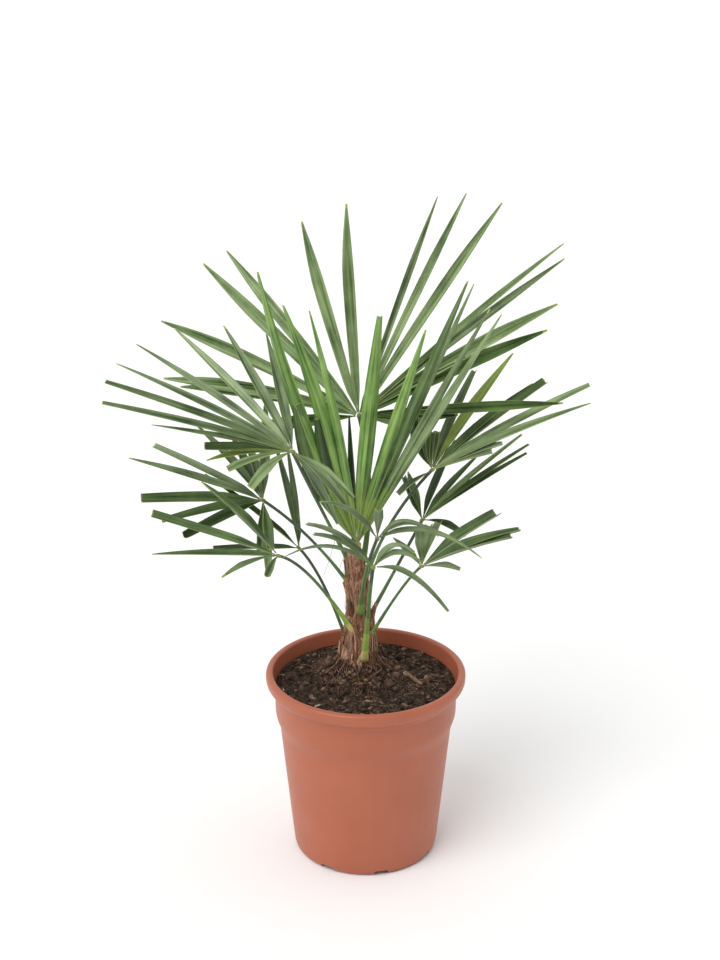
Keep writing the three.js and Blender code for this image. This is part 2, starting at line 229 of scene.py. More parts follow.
for number in range(drain_count):
    turn = 2 * math.pi * (number + drain_start) / drain_count
    bpy.ops.mesh.primitive_cube_add(
        size=1, location=(drain_reach * math.cos(turn), drain_reach * math.sin(turn), 0),
        rotation=(0, 0, turn), scale=notch_size,
    )
    cutter = bpy.context.object
    bpy.ops.object.transform_apply(location=True, rotation=True, scale=True)
    bpy.ops.object.mode_set(mode="EDIT")
    bpy.ops.mesh.select_all(action="SELECT")
    bpy.ops.mesh.bevel(offset=notch_rounding, segments=3)
    bpy.ops.object.mode_set(mode="OBJECT")
    bpy.context.view_layer.objects.active = pot
    notch = pot.modifiers.new("notch", "BOOLEAN")
    notch.operation, notch.object, notch.solver = "DIFFERENCE", cutter, "EXACT"
    bpy.ops.object.modifier_apply(modifier="notch")
    bpy.data.objects.remove(cutter)
smooth(pot, degrees=32)
pot.data.materials.append(make_polypropylene())
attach(pot, "root")
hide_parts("pot")


# The compost fills the pot to a finger's width below its rim and is mounded up round the trunk,
# where watering has washed it off the matted roots. It is a crumbly surface of peat and bark fines.
soil_top, mound_top, soil_crown = 188, 203, -1.5
mound_seat, mound_foot, mound_curve = 27, 47, 0.7
soil_gap, bottom_gap, ring_step = 0.6, 0.5, 1.5
trunk_foot = Vector((-8, 20, mound_top)) * mm
soil_edge = collar_inner_radius - soil_gap
# The depth and width of each size of lump, which all die away by the trunk and by the pot.
lump_sizes = [(3, 15), (3, 7), (2, 3)]
calm_reach, calm_width, calm_edge = 20, 8, 3


def make_compost(name, *codes):
    """Moist peat and bark fines: matt, nearly black in its hollows, with paler dry crumbs."""
    crumb, lump = 1.3 * mm, 7 * mm
    material, shader = start_material(name, Roughness=0.93, Specular_IOR_Level=0.3)
    place = add_node(material, "ShaderNodeTexCoord").outputs["Object"]
    crumbs = add_node(
        material, "ShaderNodeTexVoronoi", inputs={"Vector": place, "Scale": 1 / crumb}
    )
    lumps = add_node(
        material, "ShaderNodeTexNoise", inputs={"Vector": place, "Scale": 1 / lump, "Detail": 8}
    )
    share = add_node(
        material, "ShaderNodeMath", {"operation": "MULTIPLY_ADD"},
        {0: crumbs.outputs["Color"], 1: 0.4, 2: lumps.outputs["Fac"]},
    )
    peat = add_node(
        material, "ShaderNodeValToRGB", inputs={"Fac": share.outputs["Value"]},
        stops=list(zip((0.45, 0.72, 0.95), codes)),
    )
    return finish_material(
        material, shader, peat.outputs["Color"], share.outputs["Value"], strength=0.8, depth=0.8 * mm
    )


def mix(low, high, share):
    """The value at a share of the way from one to another."""
    return low + (high - low) * share


def from_trunk(x, y):
    """How far a spot on the ground is from the middle of the trunk's foot, in mm."""
    return math.hypot(x - trunk_foot.x, y - trunk_foot.y) / mm


def ground_height(x, y):
    """Height of the compost's surface over a spot, all in metres."""
    climb = min(1.0, max(0.0, (mound_foot - from_trunk(x, y)) / (mound_foot - mound_seat)))
    level = soil_top + soil_crown * (1 - 2 * math.hypot(x, y) / mm / soil_edge)
    return mix(level, mound_top - soil_gap, climb ** mound_curve) * mm


def crumble(x, y):
    """How far the lumps of the surface stand above or below its even height."""
    spot = Vector((x, y, 0)) / mm
    lumps = sum(depth * noise.noise(spot / width) for depth, width in lump_sizes)
    steady = min(1.0, max(0.0, (from_trunk(x, y) - calm_reach) / calm_width))
    edge = min(1.0, (soil_edge - math.hypot(x, y) / mm) / calm_edge)
    return lumps * steady * edge * mm


outline = rounded([
    (cap_radius, wall_thickness + bottom_gap, 0), (foot_radius - 1, wall_thickness + bottom_gap, 0),
    (wall_foot_radius - wall_thickness - soil_gap, foot_height + bottom_gap, 0),
    (wall_radius(step_foot) - wall_thickness - soil_gap, step_foot, 0),
    (soil_edge, collar_foot + 3.5, 0), (soil_edge, soil_top - soil_crown, 0),
])
outline += [
    Vector((soil_edge - ring * ring_step, soil_top)) * mm
    for ring in range(1, int(soil_edge / ring_step))
]
soil = turned("potting_soil", outline, sides=150)
for vertex in soil.data.vertices:
    x, y, z = vertex.co
    if z > (soil_top - 1) * mm:
        vertex.co.z = min(ground_height(x, y) + crumble(x, y), (mound_top + 2) * mm)
smooth(soil, degrees=50)
soil.data.materials.append(make_compost("moist_peat", "#17100C", "#33261D", "#5A4737"))
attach(soil, "root")
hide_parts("soil")


# Loose on the compost lie crumbs of peat, splinters of bark and shreds of dead root, thickest
# round the foot of the trunk, where the palm's own roots have pushed up through the mound.
def take_blank(made, chart=None):
    """The points, faces and chart of the shape just modelled, whose object is then removed."""
    points = [v.co.copy() for v in made.data.vertices]
    faces = [tuple(face.vertices) for face in made.data.polygons]
    bpy.data.objects.remove(made)
    charts = [[chart(points[i]) if chart else (0, 0) for i in corners] for corners in faces]
    for spots in charts:
        if max(u for u, _ in spots) - min(u for u, _ in spots) > 0.75:
            spots[:] = [(u + 1 if u < 0.5 else u, v) for u, v in spots]
    return points, faces, charts


def add_copy(mesh, blank, bend, shade=lambda middle: 0, chart_size=(0, 0), chart_shift=0):
    """Joins a copy of a blank to a mesh. bend places its points, shade picks its faces' colours."""
    points, faces, charts = blank
    uv = mesh.loops.layers.uv.verify()
    spots = [mesh.verts.new(bend(point)) for point in points]
    for corners, chart in zip(faces, charts):
        made = mesh.faces.new([spots[i] for i in corners])
        made.smooth = True
        made.material_index = shade(sum((points[i] for i in corners), Vector()) / len(corners))
        for loop, (u, v) in zip(made.loops, chart):
            loop[uv].uv = (u * chart_size[0] + chart_shift, v * chart_size[1])


def finish_mesh(name, mesh, materials):
    """The mesh as an object of the scene, with its faces pointing out."""
    bmesh.ops.recalc_face_normals(mesh, faces=mesh.faces[:])
    data = bpy.data.meshes.new(name)
    mesh.to_mesh(data)
    mesh.free()
    made = bpy.data.objects.new(name, data)
    bpy.context.scene.collection.objects.link(made)
    for material in materials:
        data.materials.append(material)
    return made


def rod_blank(sides, steps):
    """A straight rod, one unit long and one in radius, drawn up from a disc in even steps."""
    bpy.ops.mesh.primitive_circle_add(vertices=sides, radius=1, fill_type="NGON")
    made = bpy.context.object
    bpy.ops.object.mode_set(mode="EDIT")
    bpy.ops.mesh.select_all(action="SELECT")
    for _ in range(steps):
        bpy.ops.mesh.extrude_region_move(TRANSFORM_OT_translate={"value": (0, 0, 1 / steps)})
    bpy.ops.object.mode_set(mode="OBJECT")
    return take_blank(
        made, lambda point: (math.atan2(point.y, point.x) / (2 * math.pi) % 1, point.z)
    )


def bend_point(way, share):
    """The point at a share of a quadratic Bezier curve through three points."""
    return way[0] * (1 - share) ** 2 + way[1] * 2 * share * (1 - share) + way[2] * share ** 2


def bend_ahead(way, share):
    """The way that the curve heads there."""
    return ((way[1] - way[0]) * (1 - share) + (way[2] - way[1]) * share).normalized()


def add_rod(mesh, blank, way, radius_at, flatness=1.0, shade=lambda middle: 0):
    """Bends a copy of a rod along a curve. radius_at gives its radius in mm at a share of it."""
    def bend(point):
        centre, ahead = bend_point(way, point.z), bend_ahead(way, point.z)
        level = Vector((ahead.y, -ahead.x, 0))
        side = level.normalized() if level.length > 1e-6 else Vector((1, 0, 0))
        face = side.cross(ahead)
        return centre + (side * point.x + face * point.y * flatness) * radius_at(point.z) * mm

    size = (2 * math.pi * radius_at(0.5) * mm, (way[2] - way[0]).length)
    add_copy(mesh, blank, bend, shade, size)


bpy.ops.mesh.primitive_ico_sphere_add(subdivisions=1, radius=1)
bpy.ops.object.mode_set(mode="EDIT")
bpy.ops.mesh.select_all(action="SELECT")
bpy.ops.transform.vertex_random(offset=0.35, seed=5)
bpy.ops.object.mode_set(mode="OBJECT")
crumb_blank = take_blank(bpy.context.object)
bpy.ops.mesh.primitive_cube_add(size=2)
bpy.ops.object.mode_set(mode="EDIT")
bpy.ops.mesh.select_all(action="SELECT")
bpy.ops.mesh.bevel(offset=0.3, segments=1)
bpy.ops.transform.vertex_random(offset=0.12, seed=2)
bpy.ops.object.mode_set(mode="OBJECT")
chip_blank = take_blank(bpy.context.object)
thread_blank = rod_blank(sides=4, steps=7)


def add_thread(mesh, way, thick, taper, shade, flatness=1.0):
    """Adds a thin root or strand of one skin, which loses a share of its thickness on its way."""
    add_rod(
        mesh, thread_blank, way, lambda along: thick * (1 - taper * along), flatness,
        lambda middle: shade,
    )


litter_skins = [
    make_compost("peat_crumb_dark", "#1A120D", "#30241B", "#4A3A2D"),
    make_compost("peat_crumb_brown", "#33261D", "#554235", "#755F4E"),
    make_compost("bark_crumb", "#4A3629", "#75594A", "#9A7E6A"),
    make_compost("dry_root", "#5A4432", "#7E654C", "#A08869"),
    make_compost("pale_wood", "#8A7560", "#B09A84", "#CDBBA8"),
]
luck = random.Random(11)
crumbs = bmesh.new()
crumb_count, clod_count, chip_count = 3800, 400, 110
root_count, collar_root_count, anchor_root_count = 230, 800, 240
near_every, large_every, size_spread, any_turn = 5, 23, 0.45, (0, 6.28)
clod_nearest, clod_farthest, clod_lift = 22, 44, 8
litter_edge, root_edge, trunk_clearance = soil_edge - 3, soil_edge - 2, 19


def scattered():
    """A chance spot on the compost, clear of the pot and the trunk."""
    while True:
        reach, turn = litter_edge * mm * math.sqrt(luck.random()), luck.uniform(0, 2 * math.pi)
        x, y = reach * math.cos(turn), reach * math.sin(turn)
        if from_trunk(x, y) > trunk_clearance:
            return x, y


def by_trunk(nearest, farthest):
    """A chance spot on the mound, and the way it lies from the trunk."""
    reach, turn = luck.uniform(nearest, farthest) * mm, luck.uniform(0, 2 * math.pi)
    return trunk_foot.x + reach * math.cos(turn), trunk_foot.y + reach * math.sin(turn), turn


def pick(*weights):
    """A chance number of a skin, counted from 0, by the weight of each."""
    return luck.choices(range(len(weights)), weights)[0]


def on_ground(x, y, lift):
    """The point that stands a few mm above the compost's surface at a spot."""
    return Vector((x, y, ground_height(x, y) + crumble(x, y) + lift * mm))


def strew(blank, x, y, size, turn, tilt, shade, lift=0):
    """Lays a copy of a crumb or chip on the compost, size being its three half lengths in mm."""
    lie = Matrix.Rotation(turn, 3, "Z") @ Matrix.Rotation(tilt, 3, "X")
    base = on_ground(x, y, size[2] * 0.35 + lift)

    def place(point):
        return base + lie @ Vector((point.x * size[0], point.y * size[1], point.z * size[2])) * mm

    add_copy(crumbs, blank, place, lambda middle: shade)


for number in range(crumb_count):
    near, large = number % near_every == 0, number % large_every == 1
    x, y = by_trunk(22, 43)[:2] if near else scattered()
    size = luck.uniform(2, 3.4) if large else 0.6 * math.exp(luck.gauss(0.25, size_spread))
    sides = (size * luck.uniform(0.8, 1.9), size, size * luck.uniform(0.5, 1))
    shade = pick(3, 4, 3, 1) if near else pick(7, 5, 1.5, 0.4)
    strew(crumb_blank, x, y, sides, luck.uniform(*any_turn), luck.uniform(-0.6, 0.6), shade)
for _ in range(clod_count):
    x, y, _ = by_trunk(clod_nearest, clod_farthest)
    near = (clod_farthest - from_trunk(x, y)) / (clod_farthest - clod_nearest)
    size = 0.8 * math.exp(luck.gauss(0.5, size_spread))
    sides = (size * luck.uniform(1, 2), size, size * luck.uniform(0.5, 1))
    shade, lift = pick(3, 5, 3.5, 0.6), luck.uniform(-0.5, clod_lift) * near ** 1.3
    strew(crumb_blank, x, y, sides, luck.uniform(*any_turn), luck.uniform(-0.9, 0.9), shade, lift)
for _ in range(chip_count):
    x, y = scattered()
    long = luck.uniform(1.5, 4.5)
    sides = (long, long * luck.uniform(0.25, 0.5), luck.uniform(0.4, 0.8))
    turn, tilt = luck.uniform(*any_turn), luck.uniform(-0.4, 0.4)
    strew(chip_blank, x, y, sides, turn, tilt, pick(1, 3, 4, 2, 0.35))

# A dry stick lies on the right with a pale chip at its end, and three large crumbs lie apart. Each
# is its blank, its spot and half lengths in mm, its turn and tilt, its skin and its lift in mm.
placed = [
    (chip_blank, (50.5, 4), (16, 1.9, 1.7), math.radians(-60), 0.25, 3, 0),
    (chip_blank, (42.8, 17.4), (3.4, 2.2, 2.1), math.radians(-60), 0.25, 4, 0),
    (crumb_blank, (66, 8), (5.8, 5, 4.4), 0.4, 0.1, 2, 1),
    (crumb_blank, (-68, 31), (3.4, 2.6, 2.2), 1.2, 0.2, 3, 0),
    (crumb_blank, (-21, -9), (3.6, 2.8, 2.4), 0.7, 0.2, 4, 0),
]
for blank, (x, y), sides, turn, tilt, shade, lift in placed:
    strew(blank, x * mm, y * mm, sides, turn, tilt, shade, lift)

for number in range(root_count + collar_root_count):
    collar = number >= root_count
    if collar:
        x, y, turn = by_trunk(20, 44)
        heading, long = turn + luck.gauss(0, 0.9), luck.uniform(5, 18)
    else:
        x, y = scattered()
        heading, long = luck.uniform(0, 2 * math.pi), luck.uniform(6, 26)
    start = Vector((x, y))
    end = start + Vector((math.cos(heading), math.sin(heading))) * long * mm
    if end.length > root_edge * mm:
        end *= root_edge * mm / end.length
    aside = Vector((-math.sin(heading), math.cos(heading))) * luck.gauss(0, 0.28) * long * mm
    spots = (start, (start + end) / 2 + aside, end)
    lifts = (0.2, luck.uniform(1.5, 4), luck.uniform(-0.5, 1))
    way = [on_ground(*spot, lift) for spot, lift in zip(spots, lifts)]
    thick = luck.uniform(0.2, 0.42)
    shade = 1 + (pick(4, 4, 1.6, 0.05) if collar else pick(4, 3, 1.5, 0.15))
    add_thread(crumbs, way, thick, 0.5, shade)
for _ in range(anchor_root_count):
    x, y, turn = by_trunk(27, 42)
    aside = Vector((math.cos(turn + luck.gauss(0, 0.5)), math.sin(turn + luck.gauss(0, 0.5)), 0))
    way = [
        trunk_foot + aside * luck.uniform(20, 23) * mm + Vector((0, 0, luck.uniform(3, 14))) * mm,
        trunk_foot + aside * luck.uniform(25, 34) * mm + Vector((0, 0, luck.uniform(0, 9))) * mm,
        on_ground(x, y, -0.5),
    ]
    thick, shade = luck.uniform(0.3, 1.1), pick(1, 4, 4, 2)
    add_thread(crumbs, way, thick, 0.4, shade)
litter = finish_mesh("compost_litter", crumbs, litter_skins)
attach(litter, "root")


# The trunk is hardly wood yet: a core wrapped in the feet of old leaves, whose brown sheaths have
# frayed into matted fibre. Each sheath ends in a torn edge a little prouder than the one above.
trunk_height, trunk_radii = 127, [24, 20, 17.2, 15.8, 14.4, 12.4, 11.2, 11.2, 10.6, 9.2, 7.6]
trunk_rings, trunk_bow, trunk_lean = 100, 3.5, -5
trunk_way = [trunk_foot, trunk_foot + Vector((trunk_bow, 0, trunk_height / 2)) * mm,
             trunk_foot + Vector((trunk_lean, 0, trunk_height)) * mm]
sheath_count, sheath_lean, sheath_turn, sheath_sink = 6, 0.07, 2.4, 0.9
sheath_depth, rib_depth, thread_depth, swell_rate = 1.1, 1.3, 0.7, 12
rib_grain, thread_grain = (9, 4), (26, 11)


def trunk_radius(share):
    """The even trunk's radius at a share of its height, in mm."""
    spot = min(1, max(0, share)) * (len(trunk_radii) - 1)
    index = min(int(spot), len(trunk_radii) - 2)
    return mix(trunk_radii[index], trunk_radii[index + 1], spot - index)


def fibre_noise(share, turn, grain):
    """A noise over the trunk, its grain being how close it is around and along."""
    around, along = grain
    return noise.noise(Vector((math.cos(turn) * around, math.sin(turn) * around, share * along)))


def trunk_swell(share, turn):
    """How far the sheaths, ribs and threads of the surface stand off the even trunk, in mm."""
    lean = sheath_lean * math.sin(turn + sheath_turn * math.floor(share * sheath_count))
    fold = (share + lean) * sheath_count
    ribs, threads = fibre_noise(share, turn, rib_grain), fibre_noise(share, turn, thread_grain)
    swell = sheath_depth * (fold % 1) - sheath_sink + rib_depth * ribs + thread_depth * threads
    return swell * min(1, share * swell_rate) * min(1, (1 - share) * swell_rate)


def trunk_spot(share, turn, stand):
    """A point that stands a few mm off the trunk's surface."""
    reach = (trunk_radius(share) + trunk_swell(min(1, share), turn) + stand) * mm
    centre = bend_point(trunk_way, share)
    return centre + Vector((math.cos(turn), math.sin(turn), 0)) * reach


def make_fibre(name, *codes):
    """Frayed leaf sheath: dry, matt, and streaked lengthwise by its strands."""
    strand, drawn_out = 2 * mm, 0.14
    material, shader = start_material(name, Roughness=0.85, Specular_IOR_Level=0.3)
    place = add_node(material, "ShaderNodeTexCoord").outputs["Object"]
    stretch = add_node(
        material, "ShaderNodeMapping", inputs={"Vector": place, "Scale": (1, 1, drawn_out)}
    )
    strands = add_node(
        material, "ShaderNodeTexNoise",
        inputs={"Vector": stretch.outputs["Vector"], "Scale": 1 / strand, "Detail": 9, "Roughness": 0.7},
    )
    straw = add_node(
        material, "ShaderNodeValToRGB", inputs={"Fac": strands.outputs["Fac"]},
        stops=list(zip((0.34, 0.52, 0.72), codes)),
    )
    return finish_material(
        material, shader, straw.outputs["Color"], strands.outputs["Fac"], strength=0.7, depth=0.8 * mm
    )


fibres = [
    make_fibre("matted_palm_fibre", "#4A2F22", "#BA8C72", "#F0C8AA"),
    make_fibre("dark_palm_fibre", "#33211A", "#6C4E3A", "#967258"),
    make_fibre("red_palm_fibre", "#80523C", "#B88262", "#D8AA88"),
    make_fibre("pale_palm_fibre", "#BC9A7E", "#DCC2A8", "#F0DCC8"),
]
trunk_outline = [
    Vector((trunk_radius(ring / trunk_rings), ring / trunk_rings * trunk_height)) * mm
    for ring in range(trunk_rings + 1)
]
trunk = turned("fibrous_trunk", trunk_outline, sides=110)
for vertex in trunk.data.vertices:
    x, y, z = vertex.co
    vertex.co = trunk_spot(min(1, z / mm / trunk_height), math.atan2(y, x), stand=0)
trunk.data.materials.append(fibres[0])
smooth(trunk, degrees=60)
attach(trunk, "root")
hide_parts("trunk")

strand_count, fuzz_count, dark_share = 1100, 420, 0.3
strands = bmesh.new()
for number in range(strand_count + fuzz_count):
    share, turn = luck.uniform(0.02, 0.95), luck.uniform(0, 2 * math.pi)
    climb, wander = luck.uniform(5, 24) / trunk_height, luck.gauss(0, 0.35)
    top = min(1.0, share + climb)
    if number < strand_count:
        stands, thick = (-0.3, luck.uniform(0.3, 1.6), -0.2), luck.uniform(0.16, 0.42)
    else:
        stands, thick = (-0.3, luck.uniform(1.5, 3), luck.uniform(1.5, 4.5)), luck.uniform(0.13, 0.22)
    way = [
        trunk_spot(share, turn, stands[0]), trunk_spot((share + top) / 2, turn + wander, stands[1]),
        trunk_spot(top, turn + wander * luck.uniform(-0.5, 1.8), stands[2]),
    ]
    shade = pick(4, 6, 4, 0.6) if share < dark_share else pick(4, 3, 4, 1.8)
    add_thread(strands, way, thick, 0.55, shade)

# Two long hairs hang loose from the crown on the left, each given by the three points of its bend.
hairs = [
    ((-31, 3, 352), (-36, -4, 334), (-42.9, -10, 316.6)),
    ((-20, 6, 342), (-23, 0, 331), (-27.6, 0, 318)),
]
for way in hairs:
    add_thread(strands, [Vector(point) * mm for point in way], thick=0.22, taper=0, shade=1)
mat = finish_mesh("trunk_strands", strands, fibres)
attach(mat, "root")


# Stubs are the feet of leaves that were cut off long ago. They are flat, dry and brown like the
# sheaths that they grow from, and lie close along the trunk. Each is its turn, height and length.
stubs = [(15, 46, 20), (135, 88, 16), (180, 78, 14), (235, 58, 18)]
stub_sink, stub_stand, stub_foot_radius, stub_tip_radius, stub_flatness = 1.5, 3.5, 4.2, 2.6, 0.6
stub_blank = rod_blank(sides=10, steps=10)
for number, (turn, height, length) in enumerate(stubs):
    share = height / trunk_height
    outward = Vector((math.cos(math.radians(turn)), math.sin(math.radians(turn)), 0))
    centre, reach = bend_point(trunk_way, share), trunk_radius(share)
    foot = centre + outward * (reach - stub_sink) * mm
    tip = centre + (outward * (reach + stub_stand) + Vector((0, 0, length))) * mm
    mesh = bmesh.new()
    add_rod(
        mesh, stub_blank, [foot, (foot + tip) / 2, tip],
        lambda along: mix(stub_foot_radius, stub_tip_radius, along), stub_flatness,
    )
    stub = finish_mesh(f"leaf_foot_{number + 1}", mesh, [fibres[number % 2]])
    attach(stub, "root")
    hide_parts(f"stub_{number + 1}")


# The fronds, top first. hub is where the leaflets meet, aim the azimuth, elevation and roll of
# the fan, sag the drop of a leaflet's tip as a share of its length, half a leaflet's half width.
# foot and bow lay the leaf stalk. A leaflet is its turn in the fan and its length, then the width
# of its cut tip, its lift out of the fan's plane, its own sag, and the bow by which it sets off
# outwards. widest is how far along a leaflet is widest, and widths are the leaflets' own shares
# of the full width. All else is in mm and degrees.
fronds = [
    dict(name="top", hub=(-7, 65, 463), aim=(80, 76, 10), sag=0.03, half=6.6, widest=0.65,
         foot=(-1, 30, 318), bow=(8, 1, 0), stalk=(4, 2.6),
         leaflets=[(-98, 120), (-77.5, 207, 0.12, 2, 0.14), (-76, 229, 0.12, 2, 0.14),
                   (-64.5, 255, 0.12, 0, 0.1), (-49.5, 239), (-42.5, 230), (-19.5, 215), (-6, 224),
                   (17.5, 245), (23.5, 260), (31.5, 270), (46, 286, 0.12, 0, 0.05),
                   (48.5, 277, 0.12, 0, 0.05), (56, 245, 0.12, 0, 0.05), (60.5, 223, 0.12, 0, 0.05),
                   (81, 217), (84, 107), (91, 78)],
         widths=(1, 0.9, 1, 0.95, 1, 0.95, 1, 1, 0.55, 0.65, 0.8, 0.5, 0.65, 1, 1, 0.8, 1, 1)),
    dict(name="young", hub=(-9, 6, 344), aim=(270, 85, 0), sag=0.02, half=9, widest=0.5,
         foot=(-9, 20, 322), bow=(0, 2, 2), stalk=(5, 4.4),
         leaflets=[(20.5, 172, 0.3, 0, 0.02, 16), (17.5, 316, 0.12, 0, 0.02, 8),
                   (15.5, 150, 0.3, 0, 0.02, 12), (15, 276, 0.12, 0, 0.02, -3),
                   (10, 265, 0.12, 0, 0.02, -3), (-5, 256, 0.3), (-15.5, 250), (-20, 311),
                   (-22, 304, 0.12, 4), (-26, 293), (-28.5, 293)],
         widths=(1.3, 0.75, 0.9, 0.85, 0.5, 0.9, 0.7, 0.65, 0.45, 0.5, 0.5)),
    dict(name="left_high", hub=(-73, -15, 453), aim=(180, 20, 25), sag=0.03, half=5.8,
         widths=(1, 1, 1, 0.85, 0.85, 0.85, 0.85, 0.6, 1, 0.9),
         foot=(-16, 22, 316), bow=(-6, 2, 10), stalk=(4, 2.4),
         leaflets=[(70, 170), (55.5, 183), (39, 195), (24, 200), (13, 200), (4, 200, 0.5),
                   (-4.5, 196, 0.5), (-9, 144), (-20, 92, 0.8), (-22, 90, 0.12, 0, 0.15),
                   (-28, 70, 0.6, 0, 0.25), (-48, 55, 0.7, 0, 0.4), (-135, 80, 0.3, 0, 0.2),
                   (-151, 76, 0.3, 0, 0.2), (-165, 70, 0.4, 0, 0.2)]),
    dict(name="left_middle", hub=(-105, 10, 391), aim=(180, 15, 20), sag=0.03, half=5.6,
         widths=(1, 1, 1, 1, 0.85, 1, 1.25, 1, 1.1),
         foot=(-20, 16, 299), bow=(2, 0, 6), stalk=(3.4, 2.2),
         leaflets=[(83.5, 171), (72, 96), (63, 108), (48, 130), (20.5, 131, 0.7), (7.5, 145),
                   (-18, 127, 0.8), (-34, 114, 0.6), (-48, 105, 0.7), (-98, 53, 0.7, -23, 0.1),
                   (-112, 65, 0.6, -37, 0.1), (-106, 58, 0.7, -6, 0.1)]),
    dict(name="left_front", hub=(-86, -70, 364), aim=(190, 20, 10), sag=0.04, half=6,
         widths=(1.2, 1.2, 0.85, 0.75, 1),
         foot=(-15, 6, 247), bow=(-4, 4, 16), stalk=(4.8, 2.2),
         leaflets=[(24, 108, 0.12, 21), (4.5, 132, 0.9, 0, 0), (-23, 143, 0.12, 0, 0.01),
                   (-31, 72, 0.2, 0, 0.25), (-60, 30, 0.6, 0, 0.4)]),
    dict(name="left_back", hub=(-70, 45, 323), aim=(155, 40, 0), sag=0.03, half=4.6,
         widths=(0.9, 1.1, 1, 0.8),
         foot=(-20, 24, 222), bow=(0, 0, 14), stalk=(3.2, 2),
         leaflets=[(51, 172), (45, 166), (-11.5, 128), (-62, 120, 0.7)]),
    dict(name="right_high", hub=(67, 10, 424), aim=(0, 25, -20), sag=0.04, half=5.8,
         widths=(1, 1, 1, 1, 1.2, 0.9, 1.1, 1, 0.9, 1, 1, 0.9, 0.9, 0.9, 0.9, 1.3),
         foot=(2, 20, 300), bow=(-8, 0, 3), stalk=(3.8, 2.4),
         leaflets=[(155, 42, 0.7, 7, 0.1), (-92, 56, 0.6, 6, 0), (-87, 111), (-60, 150, 0.5),
                   (-48, 179), (-29, 146), (-24, 155, 0.85), (-10, 185, 0.5), (-2, 176),
                   (3, 78, 0.5), (9, 66, 0.7), (-78, 37, 0.85, 43, 0, -30),
                   (-68, 38, 0.85, 41, 0, -20), (-58, 39, 0.85, 38, 0, -10),
                   (-48, 40, 0.85, 33, 0, 4), (-81, 58, 0.4, 45, 0, -30)]),
    dict(name="right_back", hub=(59, 45, 355), aim=(20, 25, -10), sag=0.03, half=5,
         widths=(0.8, 1, 1, 1, 0.9, 0.85, 0.8),
         foot=(6, 29, 255), bow=(6, 0, 12), stalk=(3.6, 2.2),
         leaflets=[(-77.5, 83, 0.6), (-73.5, 89), (-46, 129), (-26.5, 113), (-15.5, 154, 0.4),
                   (-8, 147, 0.4), (-4, 137, 0.4), (51, 52, 0.4, 0, 0.3)]),
    dict(name="right_front", hub=(56, -30, 335), aim=(352, 15, -10), sag=0.06, half=5.2,
         widths=(0.75, 1, 1, 1, 1.5, 1.4, 1.4, 0.9),
         foot=(8, 10, 241), bow=(4, 0, 12), stalk=(3.4, 2),
         leaflets=[(-115.5, 83), (-92, 63, 0.8, 10), (-83, 65, 0.8, 10), (-74, 69, 0.8, 10),
                   (-46.5, 112, 0.85), (-26.5, 114, 0.5, 0, 0.1), (-22, 101, 0.6, 0, 0.1),
                   (11, 42, 0.5, 0, 0.2)]),
    dict(name="front_upper", hub=(11, -60, 378), aim=(280, 60, 15), sag=0.5, half=5.4,
         widths=(0.8, 0.9, 1, 0.75),
         foot=(-5, 4, 270), bow=(-3, -8, 6), stalk=(4.4, 2),
         leaflets=[(34, 115, 0.2, 0, 0.3), (4, 50, 0.8, 0, 0.1), (-27, 110, 0.4), (-47, 128)]),
    dict(name="front_lower", hub=(7, -73, 353), aim=(272, 65, 10), sag=0.5, half=4.8,
         widths=(0.65, 0.75, 0.75, 0.8, 0.9, 0.8),
         foot=(-2, 6, 222), bow=(1, -6, 20), stalk=(4.6, 2),
         leaflets=[(47, 122), (38, 97, 0.6, 0, 0.3), (34, 119, 0.6, 0, 0.3), (-20, 108, 0.5),
                   (-31, 87, 0.5), (-77, 76, 0.5, 0, 0.68)]),
]


# Leaf stalks are slim, tough rods, flat above and rounded below. Each springs from a sheath on the trunk
# that is widest and palest at its foot. The cream and bright skins there are partly the stalk's own
# pale colour and partly painted light, made brighter to make up for the crown's shade on them.
def make_stalk_skin(name, code, deeper):
    """Living cuticle over fibre: a waxy skin with fine lengthwise ribs."""
    rib, patch = 0.8 * mm, 14 * mm
    material, shader = start_material(name, Roughness=0.42, IOR=1.45, Specular_IOR_Level=0.45)
    texture = add_node(material, "ShaderNodeTexCoord")
    patches = add_node(
        material, "ShaderNodeTexNoise",
        inputs={"Vector": texture.outputs["Object"], "Scale": 1 / patch, "Detail": 4},
    )
    tint = add_node(
        material, "ShaderNodeMix", {"data_type": "RGBA"},
        {"Factor": patches.outputs["Fac"], 6: linear(code), 7: linear(deeper)},
    )
    drawn = add_node(
        material, "ShaderNodeMapping", inputs={"Vector": texture.outputs["UV"], "Scale": (1, 0.05, 1)}
    )
    ribs = add_node(
        material, "ShaderNodeTexNoise", inputs={"Vector": drawn.outputs["Vector"], "Scale": 1 / rib}
    )
    return finish_material(
        material, shader, tint.outputs[2], ribs.outputs["Fac"], strength=0.3, depth=0.3 * mm
    )


# The cream and bright skins are partly painted light: paler than the stalk itself, standing for light that
# the crown's shade takes away.
stalk_skins = [
    make_stalk_skin("leaf_stalk_cream", "#E2D98E", "#C6C172"),
    make_stalk_skin("leaf_stalk_bright", "#AFCB66", "#8CB04C"),
    make_stalk_skin("leaf_stalk_fresh", "#8AA858", "#6E8E44"),
    make_stalk_skin("leaf_stalk_green", "#6A8852", "#4C6A3A"),
    make_stalk_skin("leaf_stalk_dark", "#55664C", "#3E4E38"),
    make_stalk_skin("leaf_stalk_gold", "#CDB052", "#B4A448"),
]
stalk_shades = {"left_front": (0.06, 0.18, 0.3, 0.6), "front_lower": (0.07, 0.2, 0.32, 0.7),
                "front_upper": (-1, -1, 0.12, 0.7), "right_front": (-1, 0.05, 0.14, 0.9),
                "young": (-1,) * 5}
plain_shades = (-1, 0.03, 0.08, 0.35)
stalk_blank = rod_blank(sides=12, steps=42)
foot_sink, foot_drop, sheath_from, sheath_strand_count = 0.2, 4 * mm, 5 * mm, 46
taper_rate, taper_curve, stalk_flatness = 3, 0.6, 0.7
low_feet = {"front_lower": Vector((-1.5, -1, 215)) * mm}
sheaths = bmesh.new()
